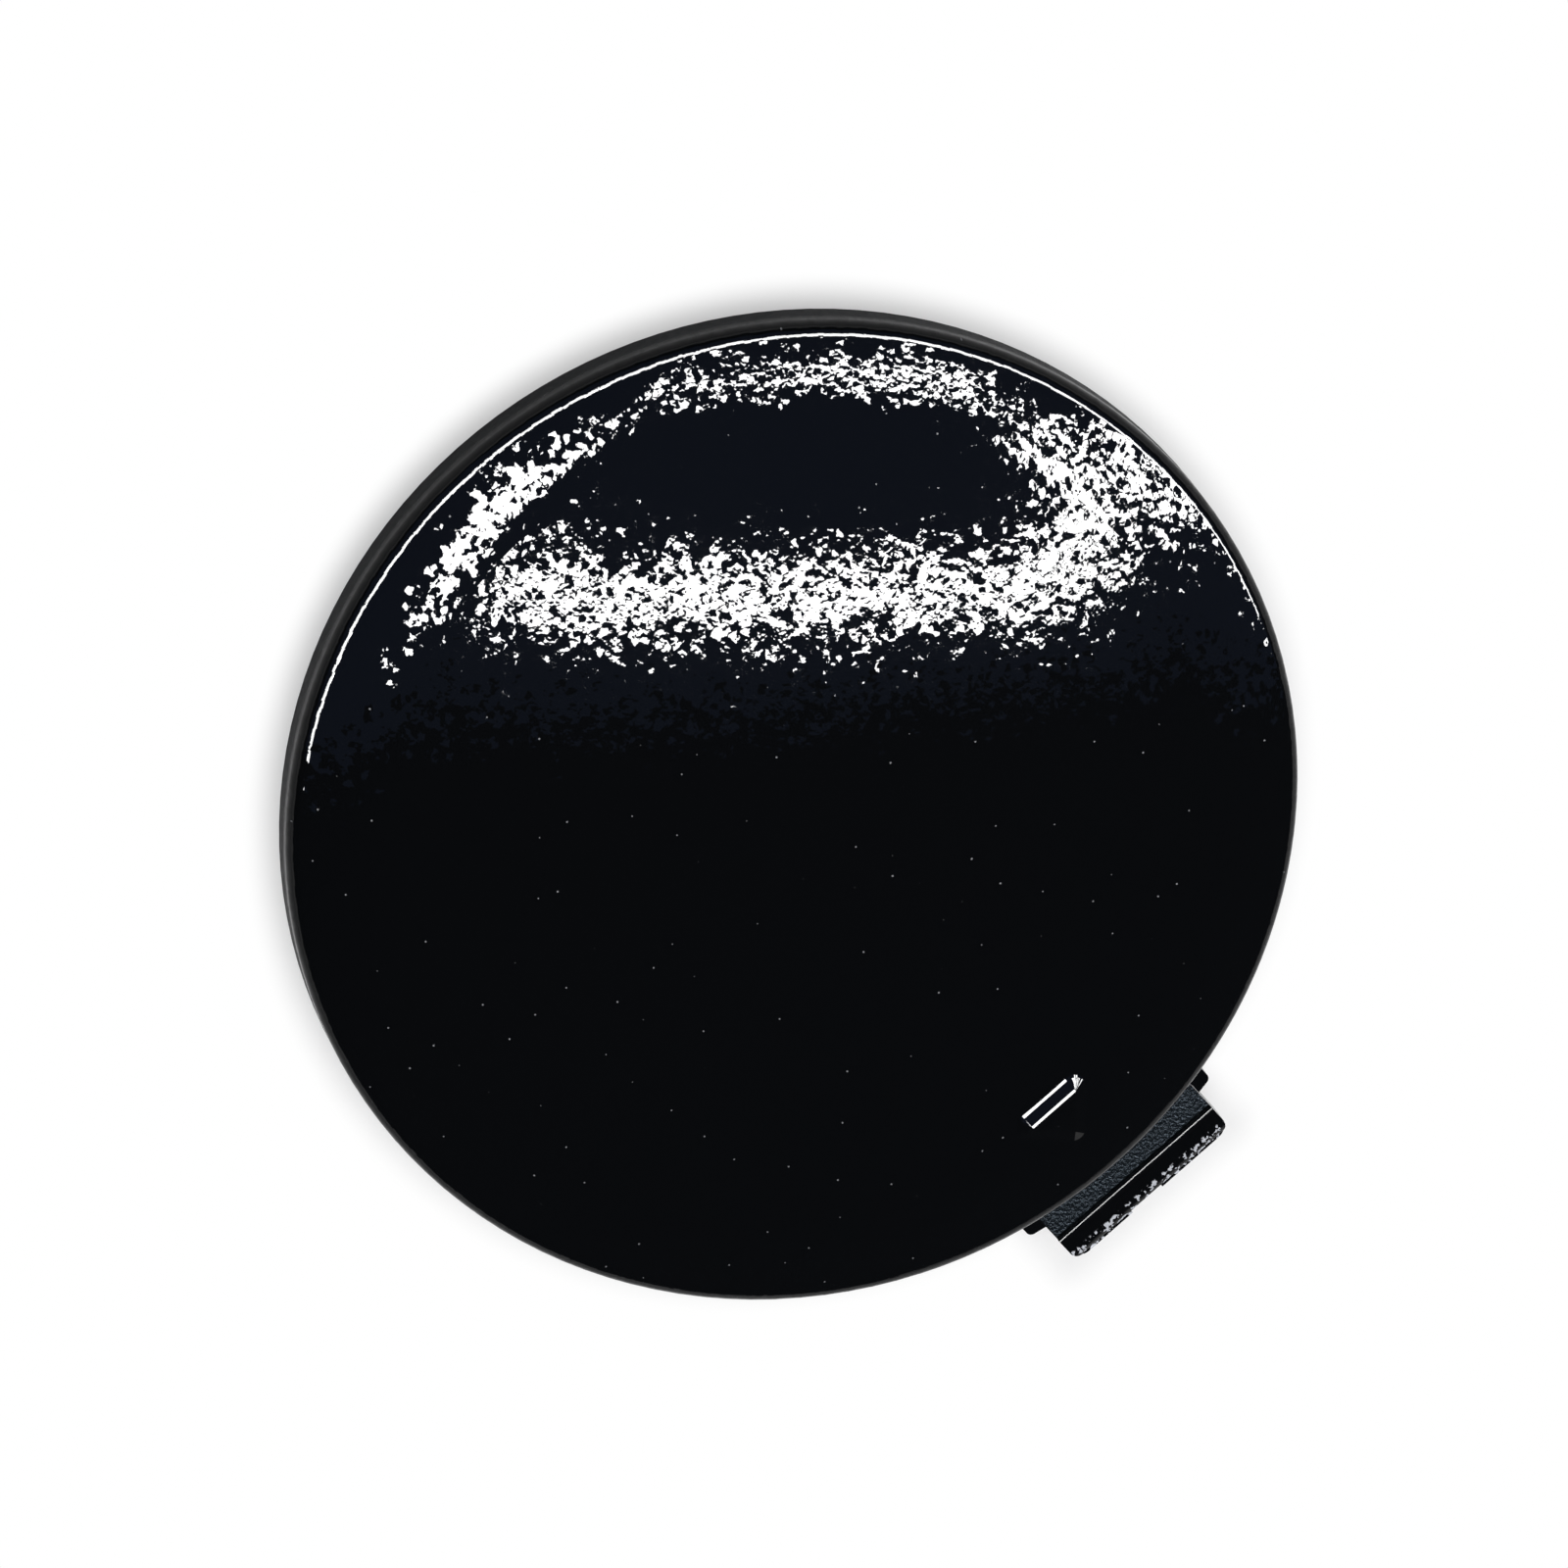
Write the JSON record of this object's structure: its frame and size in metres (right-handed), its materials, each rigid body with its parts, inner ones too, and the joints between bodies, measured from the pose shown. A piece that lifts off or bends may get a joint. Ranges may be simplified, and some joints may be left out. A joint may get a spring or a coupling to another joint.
{
  "type": "tow hook cover",
  "caption": "Round gloss black cap that clips over a bumper's tow hook opening, with a hook-behind tongue, snap claws opposite and a small raised pointer.",
  "frame": {"origin": "on the disc's axis, in the plane of the rim's lower face, which seats on the bumper", "axes": "+Z out of the painted face, +X along the tongue"},
  "size_m": [0.0769, 0.0702, 0.0147],
  "materials": {
    "gloss_black": "gloss"
  },
  "bodies": {
    "root": {"tow_hook_cover": "gloss_black"}
  },
  "joints": []
}
